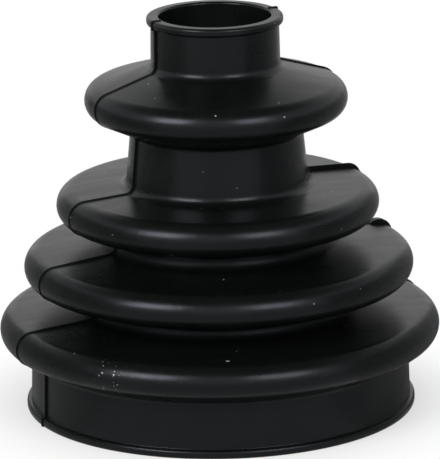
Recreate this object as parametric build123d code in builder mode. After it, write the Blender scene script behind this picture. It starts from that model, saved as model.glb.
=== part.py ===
from build123d import *

import os
from dataclasses import dataclass
from math import cos, radians, sin, tan

# A drive shaft's rubber bellows boot, moulded in one piece. The large end's face is at Z = 0, the axis is Z
# and the small end is up. Sizes are in millimetres, and slopes are in degrees from the horizontal.
# A plain height is the straight stretch of an upright wall, between its rounded corners.

# Large end
large_bore_diameter = 76.0
large_collar_wall = 2.7
large_collar_flare = 0.6  # how much wider the collar's foot is
large_collar_plain_height = 9.15
large_lip_height = 1.85
large_lip_depth = 1.0  # how far the lip stands out of the collar

# Small end
small_bore_diameter = 24.0
small_collar_wall = 1.7
small_collar_flare = 0.3
small_collar_plain_height = 7.7
small_lip_height = 1.8
small_lip_depth = 0.9

# Two narrow valleys between the three lower folds, and the neck under the top fold
lower_valley_diameter = 57.8
lower_valley_plain_height = 0.1
upper_valley_diameter = 47.8
upper_valley_plain_height = 0.53
neck_diameter = 37.0
neck_flare = 2.3
neck_plain_height = 9.31

# How far each fold's crest stands out of the wall below it, from the bottom up
bottom_fold_depth = 6.7
lower_fold_depth = 13.0
upper_fold_depth = 10.75
top_fold_depth = 9.65

fold_wall = 2.0  # thickness of the folds, the valleys and the neck

# Rounds on the outside
crest_round = 3.7
valley_root_round = 1.7  # where a valley's wall stands on the fold below
neck_root_round = 1.9
collar_root_round = 1.8
under_round = 1.1  # where a fold's underside meets the wall below
under_lower_fold_round = 0.5
under_bottom_fold_round = 1.3
lip_seat_round = 0.2
lip_round = 0.65
mouth_round = 0.5

# Flash along the mould's parting plane
flash_width = 0.25
wall_flash_height = 0.45
crest_flash_height = 0.22  # also round the lips
crest_flash_lift = 0.1  # how much higher it stands on top of the folds, and lower under them
end_flash_height = 0.25  # on the small end's face

# Where the flash tore off badly, on the +X side
tall_flash_root_height = 0.9  # over the upper fold, where the neck stands on it
tall_flash_crest_height = 0.95  # where that fold starts to round over
stub_thickness = 0.9  # a stub of flash bent towards -Y, in the corner at the neck's root
stub_length = 2.3
stub_height = 0.9  # at the parting plane, from where it slopes down
stub_offset = 1.1  # from the neck's root to the middle of the stub
tab_height = 1.1  # a thick tab of flash on the lower fold's crest
tab_width = 1.5
tab_inner_reach = 2.6  # from the middle of the crest's round towards the axis


@dataclass
class Wall:
    """An upright wall, measured on its outside: a collar, a valley or the neck."""

    diameter: float  # at its top
    flare: float
    plain_height: float
    foot_round: float
    top_round: float


@dataclass
class Fold:
    """A fold of the bellows, measured on its outside."""

    depth: float
    under_slope: float
    top_slope: float


large_collar_diameter = large_bore_diameter + 2 * large_collar_wall
small_collar_diameter = small_bore_diameter + 2 * small_collar_wall
large_collar = Wall(
    large_collar_diameter,
    large_collar_flare,
    large_collar_plain_height,
    lip_seat_round,
    under_bottom_fold_round,
)
lower_valley = Wall(
    lower_valley_diameter,
    0,
    lower_valley_plain_height,
    valley_root_round,
    under_lower_fold_round,
)
upper_valley = Wall(upper_valley_diameter, 0, upper_valley_plain_height, valley_root_round, under_round)
neck = Wall(neck_diameter, neck_flare, neck_plain_height, neck_root_round, under_round)
small_collar = Wall(
    small_collar_diameter,
    small_collar_flare,
    small_collar_plain_height,
    collar_root_round,
    lip_seat_round,
)
walls = [large_collar, lower_valley, upper_valley, neck, small_collar]  # from the bottom up
folds = [
    Fold(bottom_fold_depth, under_slope=26.0, top_slope=4.0),
    Fold(lower_fold_depth, under_slope=17.5, top_slope=5.0),
    Fold(upper_fold_depth, under_slope=14.0, top_slope=2.8),
    Fold(top_fold_depth, under_slope=25.0, top_slope=17.0),
]


def wall_height(wall, slope_below, slope_above):
    """Height of a wall with its two rounded corners, measured to where the straight lines would meet."""
    foot_reach = wall.foot_round * tan(radians(90 - slope_below) / 2)
    top_reach = wall.top_round * tan(radians(90 - slope_above) / 2)
    return foot_reach + wall.plain_height + top_reach


def fold_skin(fold, centre, inset, lower_radius, upper_radius):
    """Points of a fold's half section from the wall below to the wall above, at an inset from its outside."""
    under, top = radians(fold.under_slope), radians(fold.top_slope)
    under_end = centre + Vector(sin(under), -cos(under)) * (crest_round - inset)
    top_end = centre + Vector(sin(top), cos(top)) * (crest_round - inset)
    foot = Vector(lower_radius, under_end.Y - (under_end.X - lower_radius) * tan(under))
    root = Vector(upper_radius, top_end.Y + (top_end.X - upper_radius) * tan(top))
    return foot, under_end, top_end, root


def stack_folds():
    """Centres of the crests' rounds from the bottom up, and the height of the small lip's underside."""
    centres = []
    height, slope_below = large_lip_height, 0
    for fold, lower, upper in zip(folds, walls, walls[1:]):
        height += wall_height(lower, slope_below, fold.under_slope)
        centre = Vector(lower.diameter / 2 + fold.depth - crest_round, 0)
        upper_radius = (upper.diameter + upper.flare) / 2
        foot, _, _, root = fold_skin(fold, centre, 0, lower.diameter / 2, upper_radius)
        centres.append(centre + Vector(0, height - foot.Y))
        height += root.Y - foot.Y
        slope_below = fold.top_slope
    return centres, height + wall_height(small_collar, slope_below, 0)


def skin_radii(some_walls, growth):
    """Foot and top radius of each wall, with its skin moved out by growth."""
    return [((wall.diameter + wall.flare) / 2 + growth, wall.diameter / 2 + growth) for wall in some_walls]


def draw_folds(start, centres, inset, wall_radii):
    """Draw the bellows' skin upwards from start, with its crests round centres at an inset from the outside.

    The end point and the corners still to be rounded are handed back.
    """
    corners = []
    position = start
    for index, (fold, centre) in enumerate(zip(folds, centres)):
        lower_radius, upper_radius = wall_radii[index][1], wall_radii[index + 1][0]
        foot, under_end, top_end, root = fold_skin(fold, centre, inset, lower_radius, upper_radius)
        Polyline(position, foot, under_end)
        under = radians(fold.under_slope)
        TangentArc(under_end, top_end, tangent=(cos(under), sin(under)))
        Line(top_end, root)
        corners += [(foot, walls[index].top_round + inset), (root, walls[index + 1].foot_round + inset)]
        position = root
    return position, corners


def round_corners(sketch, corners):
    """Round each listed corner of the sketch's outline that has a radius left."""
    for corner, radius in corners:
        if radius > 0:
            fillet(sketch.vertices().sort_by_distance(corner)[0], radius)


def outside_section(wall_growth=0, crest_growth=0, crest_lift=0, end_growth=0):
    """Half section of the boot filled to its axis, with the skin of its walls, crests and end moved out."""
    top = boot_height + end_growth
    wall_radii = skin_radii(walls, wall_growth)
    centres = [centre + Vector(0, crest_lift) for centre in crest_centres]
    large_seat = Vector(wall_radii[0][0], large_lip_height + crest_growth)
    small_seat = Vector(wall_radii[-1][1], small_seat_height - crest_growth)
    lip_loss = wall_growth - crest_growth  # how much less the lips stand out of their collars
    large_lip_radius = large_seat.X + large_lip_depth - lip_loss
    small_lip_radius = small_seat.X + small_lip_depth - lip_loss
    large_lip = [(large_lip_radius, 0), (large_lip_radius, large_seat.Y)]
    small_lip = [(small_lip_radius, small_seat.Y), (small_lip_radius, top)]
    with BuildSketch(Plane.XZ) as section:
        with BuildLine():
            Polyline((0, 0), *large_lip, large_seat)
            fold_end, corners = draw_folds(large_seat, centres, -crest_growth, wall_radii)
            Polyline(fold_end, small_seat, *small_lip, (0, top), (0, 0))
        make_face()
        corners += [(corner, lip_round - lip_loss) for corner in large_lip + small_lip]
        corners += [(seat, lip_seat_round - lip_loss) for seat in (large_seat, small_seat)]
        round_corners(section, corners)
    return section.sketch


def hollow_section():
    """Half section of the space inside, filled to the axis, with rounded mouths that run past both ends."""
    large_radius, small_radius = large_bore_diameter / 2, small_bore_diameter / 2
    wall_radii = skin_radii([lower_valley, upper_valley, neck], -fold_wall)
    wall_radii = [(large_radius, large_radius), *wall_radii, (small_radius, small_radius)]
    large_mouth, large_bore_foot = Vector(large_radius + mouth_round, 0), Vector(large_radius, mouth_round)
    small_mouth = Vector(small_radius + mouth_round, boot_height)
    small_bore_top = Vector(small_radius, boot_height - mouth_round)
    bottom, top = -1, boot_height + 1
    with BuildSketch(Plane.XZ) as section:
        with BuildLine():
            Polyline((0, bottom), (large_mouth.X, bottom), large_mouth)
            TangentArc(large_mouth, large_bore_foot, tangent=(-1, 0))
            fold_end, corners = draw_folds(large_bore_foot, crest_centres, fold_wall, wall_radii)
            Line(fold_end, small_bore_top)
            TangentArc(small_bore_top, small_mouth, tangent=(0, 1))
            Polyline(small_mouth, (small_mouth.X, top), (0, top), (0, bottom))
        make_face()
        round_corners(section, corners)
    return section.sketch


def top_of_fold(fold, centre, wall_above):
    """Points where the top of a fold leaves its crest's round, and where it meets the wall above."""
    radius = (wall_above.diameter + wall_above.flare) / 2
    _, _, crest_end, root = fold_skin(fold, centre, 0, radius, radius)
    return crest_end, root


def inside_crest(centre):
    """Point in the middle of the wall of a fold's crest, where it reaches out farthest."""
    return centre + Vector(crest_round - fold_wall / 2, 0)


def tall_flash_section(centre, crest_end, root):
    """Half section of the flash that stands too high over a fold, closed through the fold's inside."""
    inner_top = root + Vector(0, tall_flash_root_height)
    outer_top = crest_end + Vector(0, tall_flash_crest_height)
    outer_end = inside_crest(centre)
    with BuildSketch(Plane.XZ) as section:
        with BuildLine():
            Polyline(root, inner_top, outer_top)
            TangentArc(outer_top, outer_end, tangent=outer_top - inner_top)
            Polyline(outer_end, centre, root)
        make_face()
    return section.sketch


def stub_section(root):
    """Section of the stub along the neck, sloping down from the parting plane, closed inside the fold's wall."""
    foot = root.Y - fold_wall / 2
    with BuildSketch(Plane.YZ.offset(root.X + stub_offset)) as section:
        with BuildLine():
            Polyline((-stub_length, foot), (0, foot), (0, root.Y + stub_height), (-stub_length, root.Y), close=True)
        make_face()
    return section.sketch


def tab_section(centre):
    """Half section of the tab on a fold's crest, closed through the fold's inside."""
    inner_end = centre + Vector(-tab_inner_reach, crest_round)
    top = centre + Vector(0, crest_round + tab_height)
    outer_end = inside_crest(centre)
    with BuildSketch(Plane.XZ) as section:
        with BuildLine():
            ThreePointArc(inner_end, top, outer_end)
            Polyline(outer_end, centre, inner_end)
        make_face()
    return section.sketch


crest_centres, small_seat_height = stack_folds()
boot_height = small_seat_height + small_lip_height
lower_crest, upper_crest = crest_centres[1:3]
upper_crest_end, neck_root = top_of_fold(folds[2], upper_crest, neck)

with BuildPart() as bellows_boot:
    revolve(outside_section(), axis=Axis.Z)
    flash_section = outside_section(wall_flash_height, crest_flash_height, crest_flash_lift, end_flash_height)
    for side in (flash_section, mirror(flash_section, about=Plane.YZ, mode=Mode.PRIVATE)):
        extrude(side, amount=flash_width / 2, both=True)
    tall_flash = tall_flash_section(upper_crest, upper_crest_end, neck_root)
    extrude(tall_flash, amount=flash_width / 2, both=True)
    extrude(tab_section(lower_crest), amount=tab_width / 2, both=True)
    extrude(stub_section(neck_root), amount=stub_thickness / 2, both=True)
    revolve(hollow_section(), axis=Axis.Z, mode=Mode.SUBTRACT)

os.makedirs("parts", exist_ok=True)
bellows_boot.part.label = "bellows_boot"
export_step(bellows_boot.part, "parts/bellows_boot.step")
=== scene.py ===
from math import cos, pi, radians, sin, tan

import bpy
from mathutils import Matrix, Vector

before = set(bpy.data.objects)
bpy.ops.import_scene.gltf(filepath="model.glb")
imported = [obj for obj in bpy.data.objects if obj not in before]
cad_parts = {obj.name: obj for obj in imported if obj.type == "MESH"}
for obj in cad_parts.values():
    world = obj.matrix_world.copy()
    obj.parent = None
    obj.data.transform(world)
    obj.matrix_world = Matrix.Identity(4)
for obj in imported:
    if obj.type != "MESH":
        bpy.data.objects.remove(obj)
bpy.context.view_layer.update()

# The boot stands on its large end, with its axis on the Z axis. From an azimuth of 0 one looks along +Y.
MM = 0.001  # every length is in metres
WHITE = (1, 1, 1, 1)

# Camera: a long lens a metre away, a little above the boot, turned so that the flash is left of the middle
PICTURE_WIDTH, PICTURE_HEIGHT = 440, 459  # pixels
PIXELS_PER_RADIAN = 4893.8
SENSOR_WIDTH = 36.0
CAMERA_AZIMUTH = radians(-24.3)
CAMERA_ELEVATION = radians(15.39)
CAMERA_ROLL = radians(0.96)
CAMERA_DISTANCE = 1052.2 * MM
CAMERA_TARGET_ASIDE = 0.38 * MM
CAMERA_TARGET_HEIGHT = 38.34 * MM
NEAREST_SEEN, FARTHEST_SEEN = 50 * MM, 50.0

# Lamps: two soft boxes in front, one each side of the camera
LAMP_DISTANCE = 1000 * MM
LEFT_LAMP = dict(
    aside=radians(-41.5), elevation=radians(31), width=radians(26), height=radians(24), radiance=9.7)
RIGHT_LAMP = dict(
    aside=radians(32.5), elevation=radians(29), width=radians(24), height=radians(24), radiance=6.0)

# Surroundings: pale walls under a dim ceiling, which light the boot less than its gloss shows of them
SURROUNDINGS_LIGHT = 0.15
WALLS_IN_GLOSS = 0.81
CEILING_IN_GLOSS = 0.08
WALLS_END = radians(32)
CEILING_STARTS = radians(58)

# Floor: matt round the boot's axis, where the shadow lies, and glowing for whatever sees it farther out
FLOOR_HALF_WIDTH = 6.0
FLOOR_COLOUR = (0.95, 0.95, 0.95, 1)
FLOOR_IN_GLOSS = 0.5
GLOW_STARTS = 10 * MM
GLOW_IS_FULL = 65 * MM

# Side cards: bent grey cards beside the boot, seen only in its gloss, that keep the edges of its walls dark
CARD_STARTS, CARD_ENDS = radians(52), radians(140)  # round from the camera
CARD_INNER_RADIUS = 43 * MM
CARD_OUTER_RADIUS = 110 * MM
CARD_HEIGHT = 85 * MM
CARD_LIFT = 0.2 * MM
CARD_STRIPS = 12
LEFT_CARD_COLOUR = (0.6, 0.6, 0.6, 1)
RIGHT_CARD_COLOUR = (0.5, 0.5, 0.5, 1)

# Rubber: black, with a grey bloom, smears that were wiped one way and the fine grain of a blasted mould
RUBBER_COLOUR = (0.0020, 0.0032, 0.0026, 1)
RUBBER_SPECULAR = 0.25
RUBBER_SPECULAR_TINT = (0.87, 0.88, 1.0, 1)
RUBBER_ROUGHNESS = 0.29
NOISE_MIDDLE = 0.5
BLOOM = dict(size=14 * MM, detail=5.0, crispness=0.62)
BLOOM_COLOUR = (0.0060, 0.0072, 0.0066, 1)
BLOOM_ROUGHNESS = 0.06
SMEARS = dict(size=4 * MM, detail=3.0, crispness=0.6)
SMEAR_TURN = (0, 0, radians(-30))
SMEAR_STRETCH = (0.22, 1, 1)
SMEAR_ROUGHNESS = 0.2
GRAIN = dict(size=0.30 * MM, detail=2.0, crispness=0.5)
GRAIN_DEPTH = 0.004 * MM

# Dull rings, where the walls of the two narrow valleys stand on the folds below
DULL_RINGS = [dict(radius=29.4 * MM, height=22.8 * MM), dict(radius=24.4 * MM, height=36.6 * MM)]
DULL_REACH = 2.0 * MM
DULL_ROUGHNESS = 0.22

# Talc: single specks on the folds, a patch of them at the front left of the bottom fold, and a few large ones
TALC_COLOUR = (0.5, 0.5, 0.49, 1)
SINGLE_SPECKS = dict(radius=0.135 * MM, spacing=3.4 * MM)
PATCH_SPECKS = dict(radius=0.14 * MM, spacing=0.86 * MM)
SPECK_SOLID_SHARE = 0.4  # of a speck's radius, past which it fades
FOLDS_START, SPECKS_ARE_FULL = 13 * MM, 15 * MM
PATCH = dict(azimuth=radians(-54), radius=47 * MM, height=17.5 * MM)
PATCH_REACH = 7 * MM
LARGE_SPECKS = [  # each with the reach at which it has faded
    (dict(azimuth=radians(-22.2), radius=41.7 * MM, height=21.4 * MM), 0.6 * MM),  # on the bottom fold's top
    (dict(azimuth=radians(-55.8), radius=47.2 * MM, height=18.9 * MM), 0.32 * MM),  # in the patch
    (dict(azimuth=radians(-52.4), radius=47.1 * MM, height=18.8 * MM), 0.36 * MM),  # in the patch
    (dict(azimuth=radians(-24.6), radius=27.0 * MM, height=70.3 * MM), 0.28 * MM),  # on the top fold
    (dict(azimuth=radians(3.8), radius=41.8 * MM, height=32.1 * MM), 0.22 * MM),  # on the lower fold
]

# Sockets of a Mix node that mixes colours. They have numbers, because others there have the same names.
MIX_SHARE, MIX_FIRST, MIX_SECOND, MIX_RESULT = 0, 6, 7, 2


class Socket:
    """One output of a shader node. Arithmetic on it adds nodes to its tree."""

    def __init__(self, nodes, output):
        self.nodes = nodes
        self.output = output

    def __getitem__(self, name):
        """Another output of the same node, by its name or number."""
        return Socket(self.nodes, self.output.node.outputs[name])

    def math(self, operation, first, second):
        return self.nodes.add("ShaderNodeMath", {"operation": operation}, {0: first, 1: second})

    def __add__(self, other):
        return self.math("ADD", self, other)

    def __sub__(self, other):
        return self.math("SUBTRACT", self, other)

    def __rsub__(self, other):
        return self.math("SUBTRACT", other, self)

    def __mul__(self, other):
        return self.math("MULTIPLY", self, other)

    def __truediv__(self, other):
        return self.math("DIVIDE", self, other)

    __radd__ = __add__
    __rmul__ = __mul__

    def or_more(self, other):
        """The larger of the two."""
        return self.math("MAXIMUM", self, other)

    def rise(self, start, end, interpolation="SMOOTHSTEP"):
        """0 up to the start and 1 from the end on. An end below the start gives a fall from 1 to 0."""
        return self.nodes.add("ShaderNodeMapRange", {"interpolation_type": interpolation}, {
            "Value": self, "From Min": start, "From Max": end})

    def vector_math(self, operation, other=(0, 0, 0)):
        return self.nodes.add("ShaderNodeVectorMath", {"operation": operation}, {0: self, 1: other})

    def length(self):
        return self.vector_math("LENGTH")["Value"]

    def distance_to(self, place):
        return self.vector_math("DISTANCE", place)["Value"]

    def height(self):
        """The Z of a vector."""
        return self.nodes.add("ShaderNodeSeparateXYZ", None, {"Vector": self})["Z"]


class Nodes:
    """The shader nodes of a material or of the world, which starts without any."""

    def __init__(self, owner):
        owner.use_nodes = True
        self.tree = owner.node_tree
        self.tree.nodes.clear()

    def add(self, kind, settings=None, inputs=None):
        """Adds a node: its settings first, then its sockets' values or links. Gives its first output."""
        node = self.tree.nodes.new(kind)
        for name, value in (settings or {}).items():
            setattr(node, name, value)
        for name, value in (inputs or {}).items():
            if isinstance(value, Socket):
                self.tree.links.new(value.output, node.inputs[name])
            else:
                node.inputs[name].default_value = value
        return Socket(self, node.outputs[0]) if node.outputs else None

    def mix_colours(self, share, first, second):
        """A colour between two others: the first where the share is 0 and the second where it is 1."""
        inputs = {MIX_SHARE: share, MIX_FIRST: first, MIX_SECOND: second}
        return self.add("ShaderNodeMix", {"data_type": "RGBA"}, inputs)[MIX_RESULT]

    def noise(self, place, size, detail, crispness):
        return self.add("ShaderNodeTexNoise", None, {
            "Vector": place, "Scale": 1 / size, "Detail": detail, "Roughness": crispness})

    def end_material(self, surface):
        self.add("ShaderNodeOutputMaterial", None, {"Surface": surface})


def new_material(name):
    material = bpy.data.materials.new(name)
    return material, Nodes(material)


def direction(azimuth, elevation):
    """Unit vector from the boot towards a place round it, at an azimuth and an elevation."""
    level = cos(elevation)
    return Vector((sin(azimuth) * level, -cos(azimuth) * level, sin(elevation)))


def spot(azimuth, radius, height):
    """A place on or round the boot, by its azimuth, its distance from the axis and its height."""
    return direction(azimuth, 0) * radius + Vector((0, 0, height))


def make_camera():
    data = bpy.data.cameras.new("camera")
    data.sensor_width = SENSOR_WIDTH
    data.lens = PIXELS_PER_RADIAN * SENSOR_WIDTH / max(PICTURE_WIDTH, PICTURE_HEIGHT)
    data.clip_start, data.clip_end = NEAREST_SEEN, FARTHEST_SEEN
    camera = bpy.data.objects.new("camera", data)
    bpy.context.scene.collection.objects.link(camera)
    back = direction(CAMERA_AZIMUTH, CAMERA_ELEVATION)
    level_right = Vector((cos(CAMERA_AZIMUTH), sin(CAMERA_AZIMUTH), 0))
    level_up = back.cross(level_right)
    right = level_right * cos(CAMERA_ROLL) - level_up * sin(CAMERA_ROLL)
    up = level_right * sin(CAMERA_ROLL) + level_up * cos(CAMERA_ROLL)
    target = level_right * CAMERA_TARGET_ASIDE + Vector((0, 0, CAMERA_TARGET_HEIGHT))
    place = Matrix((right, up, back)).transposed().to_4x4()
    place.translation = target + back * CAMERA_DISTANCE
    camera.matrix_world = place
    bpy.context.scene.camera = camera


def make_lamp(name, aside, elevation, width, height, radiance):
    """A soft box that faces the boot, as wide and high as the angles it fills when seen from there."""
    data = bpy.data.lights.new(name, "AREA")
    data.shape = "RECTANGLE"
    data.size = 2 * LAMP_DISTANCE * tan(width / 2)
    data.size_y = 2 * LAMP_DISTANCE * tan(height / 2)
    data.energy = radiance * pi * data.size * data.size_y
    lamp = bpy.data.objects.new(name, data)
    towards = direction(CAMERA_AZIMUTH + aside, elevation)
    lamp.location = Vector((0, 0, CAMERA_TARGET_HEIGHT)) + towards * LAMP_DISTANCE
    lamp.rotation_mode = "QUATERNION"
    lamp.rotation_quaternion = towards.to_track_quat("Z", "Y")
    bpy.context.scene.collection.objects.link(lamp)


def make_surroundings():
    world = bpy.data.worlds.new("surroundings")
    nodes = Nodes(world)
    height = nodes.add("ShaderNodeTexCoord")["Generated"].height()
    ceiling = height.rise(sin(WALLS_END), sin(CEILING_STARTS))
    in_room = WALLS_IN_GLOSS - ceiling * (WALLS_IN_GLOSS - CEILING_IN_GLOSS)
    ray = nodes.add("ShaderNodeLightPath")
    in_gloss = ray["Is Glossy Ray"].or_more(ray["Is Transmission Ray"])
    light = SURROUNDINGS_LIGHT + in_gloss * (in_room - SURROUNDINGS_LIGHT)
    strength = light.or_more(ray["Is Camera Ray"])
    background = nodes.add("ShaderNodeBackground", None, {"Color": WHITE, "Strength": strength})
    nodes.add("ShaderNodeOutputWorld", None, {"Surface": background})
    bpy.context.scene.world = world


def new_mesh_object(name, verts, faces, material):
    mesh = bpy.data.meshes.new(name)
    mesh.from_pydata(verts, [], faces)
    mesh.materials.append(material)
    made = bpy.data.objects.new(name, mesh)
    bpy.context.scene.collection.objects.link(made)
    return made


def pale_floor():
    material, nodes = new_material("pale_floor")
    matt = nodes.add("ShaderNodeBsdfDiffuse", None, {"Color": FLOOR_COLOUR})
    ray = nodes.add("ShaderNodeLightPath")
    brightness = FLOOR_IN_GLOSS + ray["Is Camera Ray"] * (1 - FLOOR_IN_GLOSS)
    glow = nodes.add("ShaderNodeEmission", None, {"Color": WHITE, "Strength": brightness})
    seen = ray["Is Camera Ray"].or_more(ray["Is Glossy Ray"]).or_more(ray["Is Transmission Ray"])
    clear_of_boot = nodes.add("ShaderNodeTexCoord")["Object"].length().rise(GLOW_STARTS, GLOW_IS_FULL)
    nodes.end_material(nodes.add("ShaderNodeMixShader", None, {0: seen * clear_of_boot, 1: matt, 2: glow}))
    return material


def make_floor():
    w = FLOOR_HALF_WIDTH
    corners = [(-w, -w, 0), (w, -w, 0), (w, w, 0), (-w, w, 0)]
    floor = new_mesh_object("floor", corners, [(0, 1, 2, 3)], pale_floor())


def grey_card(name, colour):
    material, nodes = new_material(name)
    nodes.end_material(nodes.add("ShaderNodeBsdfDiffuse", None, {"Color": colour}))
    return material


def make_side_card(name, side, material):
    """A card bent round one side of the boot: a foot on the floor, then an upright wall. side is -1 or 1."""
    verts, faces = [], []
    for strip in range(CARD_STRIPS + 1):
        azimuth = CAMERA_AZIMUTH + side * (CARD_STARTS + (CARD_ENDS - CARD_STARTS) * strip / CARD_STRIPS)
        foot = spot(azimuth, CARD_INNER_RADIUS, CARD_LIFT)
        corner = spot(azimuth, CARD_OUTER_RADIUS, CARD_LIFT)
        top = spot(azimuth, CARD_OUTER_RADIUS, CARD_HEIGHT)
        verts += [foot, corner, top]
    row = 3  # the foot, the corner and the top
    for a in range(0, row * CARD_STRIPS, row):
        faces += [(a, a + 1, a + 1 + row, a + row), (a + 1, a + 2, a + 2 + row, a + 1 + row)]
    card = new_mesh_object(name, verts, faces, material)
    card.visible_camera = card.visible_diffuse = card.visible_shadow = False


def near(place, centre, reach):
    """1 at a centre, falling smoothly to 0 at a reach from it."""
    return place.distance_to(centre).rise(reach, 0)


def talc_specks(nodes, place, radius, spacing):
    """1 on round specks scattered over the surface, each with its own radius, and 0 between them."""
    speck = nodes.add("ShaderNodeTexVoronoi", None, {"Vector": place, "Scale": 1 / spacing})
    own_radius = speck["Color"] * (2 * radius / spacing)  # a cell's random grey is a half on average
    return (speck["Distance"] / own_radius).rise(1, SPECK_SOLID_SHARE, "LINEAR")


def talc(nodes, place):
    """How thickly the talc lies: the single specks on the folds, the patch and the large specks."""
    on_folds = place.height().rise(FOLDS_START, SPECKS_ARE_FULL, "LINEAR")
    on_patch = near(place, spot(**PATCH), PATCH_REACH)
    single_specks = talc_specks(nodes, place, **SINGLE_SPECKS) * on_folds
    patch_specks = talc_specks(nodes, place, **PATCH_SPECKS) * on_patch
    thickness = single_specks.or_more(patch_specks)
    for centre, reach in LARGE_SPECKS:
        thickness = thickness.or_more(near(place, spot(**centre), reach))
    return thickness


def dull_rings(nodes, place):
    """1 at the foot of each narrow valley's wall, falling smoothly to 0 around it."""
    radius = place.vector_math("MULTIPLY", (1, 1, 0)).length()  # from the axis
    profile = nodes.add("ShaderNodeCombineXYZ", None, {"X": radius, "Z": place.height()})
    return sum(near(profile, (ring["radius"], 0, ring["height"]), DULL_REACH) for ring in DULL_RINGS)


def moulded_rubber():
    """Black rubber as it leaves the mould: satin, unevenly bloomed and smeared, with specks of talc."""
    material, nodes = new_material("moulded_rubber")
    place = nodes.add("ShaderNodeTexCoord")["Object"]
    bloom = nodes.noise(place, **BLOOM)
    clean = nodes.mix_colours(bloom, RUBBER_COLOUR, BLOOM_COLOUR)
    colour = nodes.mix_colours(talc(nodes, place), clean, TALC_COLOUR)
    wiped = nodes.add("ShaderNodeMapping", None, {
        "Vector": place, "Rotation": SMEAR_TURN, "Scale": SMEAR_STRETCH})
    smears = nodes.noise(wiped, **SMEARS)
    uneven = (bloom - NOISE_MIDDLE) * BLOOM_ROUGHNESS + (smears - NOISE_MIDDLE) * SMEAR_ROUGHNESS
    roughness = RUBBER_ROUGHNESS + uneven + dull_rings(nodes, place) * DULL_ROUGHNESS
    grain = nodes.noise(place, **GRAIN)
    normal = nodes.add("ShaderNodeBump", None, {"Height": grain, "Distance": GRAIN_DEPTH})
    nodes.end_material(nodes.add("ShaderNodeBsdfPrincipled", None, {
        "Base Color": colour,
        "Roughness": roughness,
        "Specular IOR Level": RUBBER_SPECULAR,
        "Specular Tint": RUBBER_SPECULAR_TINT,
        "Normal": normal}))
    return material


make_camera()
make_lamp("left_soft_box", **LEFT_LAMP)
make_lamp("right_soft_box", **RIGHT_LAMP)
make_surroundings()
make_floor()
make_side_card("left_card", -1, grey_card("light_grey_card", LEFT_CARD_COLOUR))
make_side_card("right_card", 1, grey_card("mid_grey_card", RIGHT_CARD_COLOUR))

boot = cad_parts["bellows_boot"]
boot.data.materials[0] = moulded_rubber()

bpy.context.scene.view_settings.view_transform = "Standard"
